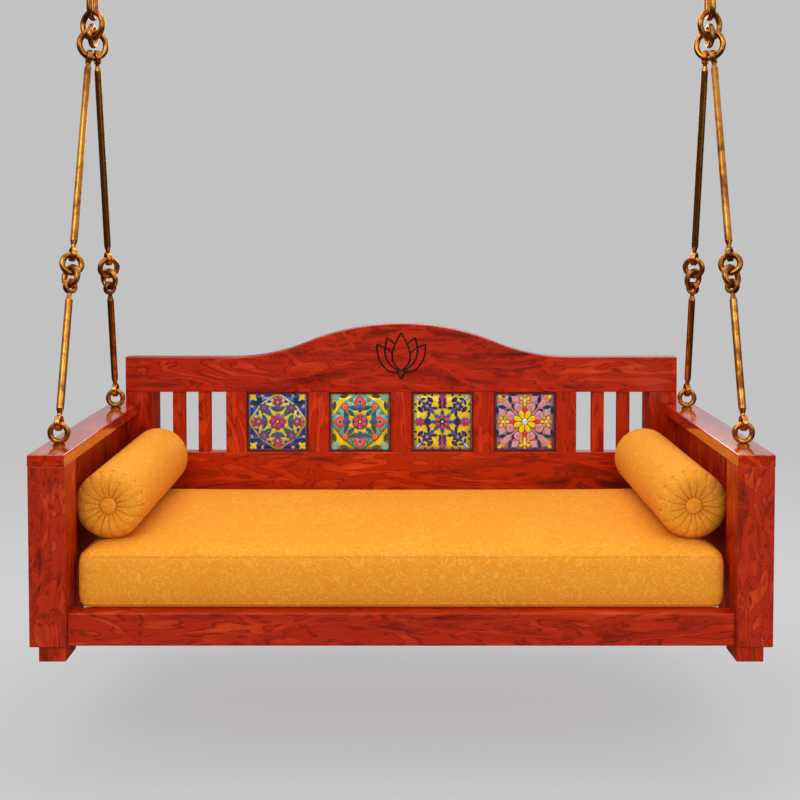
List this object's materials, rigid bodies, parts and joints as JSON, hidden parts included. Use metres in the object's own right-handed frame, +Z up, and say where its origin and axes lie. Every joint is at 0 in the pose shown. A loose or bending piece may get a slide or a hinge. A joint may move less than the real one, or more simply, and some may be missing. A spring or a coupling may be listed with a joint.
{
  "type": "jhoola swing",
  "caption": "Wooden bench swing with arched, carved crest rail, painted tiles, slatted back, mattress and bolsters, hung on leaning brass rods and linked rings.",
  "frame": {"origin": "centre of the footprint at the underside of the feet, with the bench hanging at rest", "axes": "+X to the right as seen from the front, +Y from the front to the back, +Z up"},
  "size_m": [1.561, 0.676, 1.5784],
  "materials": {
    "red_hardwood": "gloss",
    "mustard_cloth": "matte",
    "aged_brass": "satin",
    "tile_glaze_1": "gloss",
    "tile_glaze_2": "gloss",
    "tile_glaze_3": "gloss",
    "tile_glaze_4": "gloss"
  },
  "bodies": {
    "ceiling": {"ceiling_bracket_left": "aged_brass", "ceiling_bracket_right": "aged_brass", "pin_nuts": "aged_brass", "pivot_pins": "aged_brass", "pivot_rollers": "aged_brass"},
    "long_links": {"long_link_left": "aged_brass", "long_link_right": "aged_brass"},
    "left_hanger": {"keeper_ring_left": "aged_brass", "lower_apex_ring_left": "aged_brass", "lower_rod_back_left": "aged_brass", "lower_rod_front_left": "aged_brass", "mid_rings_back_left": "aged_brass", "mid_rings_front_left": "aged_brass", "upper_apex_ring_left": "aged_brass", "upper_rod_back_left": "aged_brass", "upper_rod_front_left": "aged_brass"},
    "right_hanger": {"keeper_ring_right": "aged_brass", "lower_apex_ring_right": "aged_brass", "lower_rod_back_right": "aged_brass", "lower_rod_front_right": "aged_brass", "mid_rings_back_right": "aged_brass", "mid_rings_front_right": "aged_brass", "upper_apex_ring_right": "aged_brass", "upper_rod_back_right": "aged_brass", "upper_rod_front_right": "aged_brass"},
    "seat": {"arm_eyes_left": "aged_brass", "arm_eyes_right": "aged_brass", "arm_rail_left": "red_hardwood", "arm_rail_right": "red_hardwood", "back_post_left": "red_hardwood", "back_post_right": "red_hardwood", "back_rail": "red_hardwood", "back_slats": "red_hardwood", "crest_rail": "red_hardwood", "feet": "red_hardwood", "front_post_left": "red_hardwood", "front_post_right": "red_hardwood", "front_rail": "red_hardwood", "lower_back_rail": "red_hardwood", "seat_bearer": "red_hardwood", "seat_ledgers": "red_hardwood", "seat_slats": "red_hardwood", "side_boards_left": "red_hardwood", "side_boards_right": "red_hardwood", "side_rail_left": "red_hardwood", "side_rail_right": "red_hardwood", "tile_1": "tile_glaze_1", "tile_2": "tile_glaze_2", "tile_3": "tile_glaze_3", "tile_4": "tile_glaze_4", "tile_beads": "red_hardwood", "tile_boards": "red_hardwood", "tile_stiles": "red_hardwood"},
    "mattress": {"mattress": "mustard_cloth"},
    "bolster_left": {"bolster_buttons_left": "mustard_cloth", "bolster_left": "mustard_cloth"},
    "bolster_right": {"bolster_buttons_right": "mustard_cloth", "bolster_right": "mustard_cloth"}
  },
  "joints": [
    {"name": "swing", "type": "hinge", "parent": "ceiling", "child": "long_links", "pos_m": [0, 0.0283, 1.5254], "axis": [1, 0, 0], "range_deg": [-20, 20]},
    {"name": "sway_left", "type": "hinge", "parent": "long_links", "child": "left_hanger", "pos_m": [-0.7255, 0.0283, 1.3819], "axis": [0, 1, 0], "range_deg": [-4, 4]},
    {"name": "sway_right", "type": "hinge", "parent": "long_links", "child": "right_hanger", "pos_m": [0.7255, 0.0283, 1.3819], "axis": [0, 1, 0], "range_deg": [-4, 4]},
    {"name": "seat_level", "type": "hinge", "parent": "left_hanger", "child": "seat", "pos_m": [-0.7255, -0.247, 0.456], "axis": [0, 1, 0], "range_deg": [-4, 4]},
    {"name": "mattress_lift", "type": "slide", "parent": "seat", "child": "mattress", "axis": [0, 0, 1], "range_m": [0, 0.25]},
    {"name": "bolster_left_lift", "type": "slide", "parent": "mattress", "child": "bolster_left", "axis": [0.7071, 0, 0.7071], "range_m": [0, 0.25]},
    {"name": "bolster_right_lift", "type": "slide", "parent": "mattress", "child": "bolster_right", "axis": [-0.7071, 0, 0.7071], "range_m": [0, 0.25]}
  ],
  "couplings": [
    {"joint": "sway_right", "follows": "sway_left", "ratio": 1},
    {"joint": "seat_level", "follows": "sway_left", "ratio": -1},
    {"joint": "bolster_left_lift", "follows": "mattress_lift", "ratio": 1},
    {"joint": "bolster_right_lift", "follows": "mattress_lift", "ratio": 1}
  ]
}
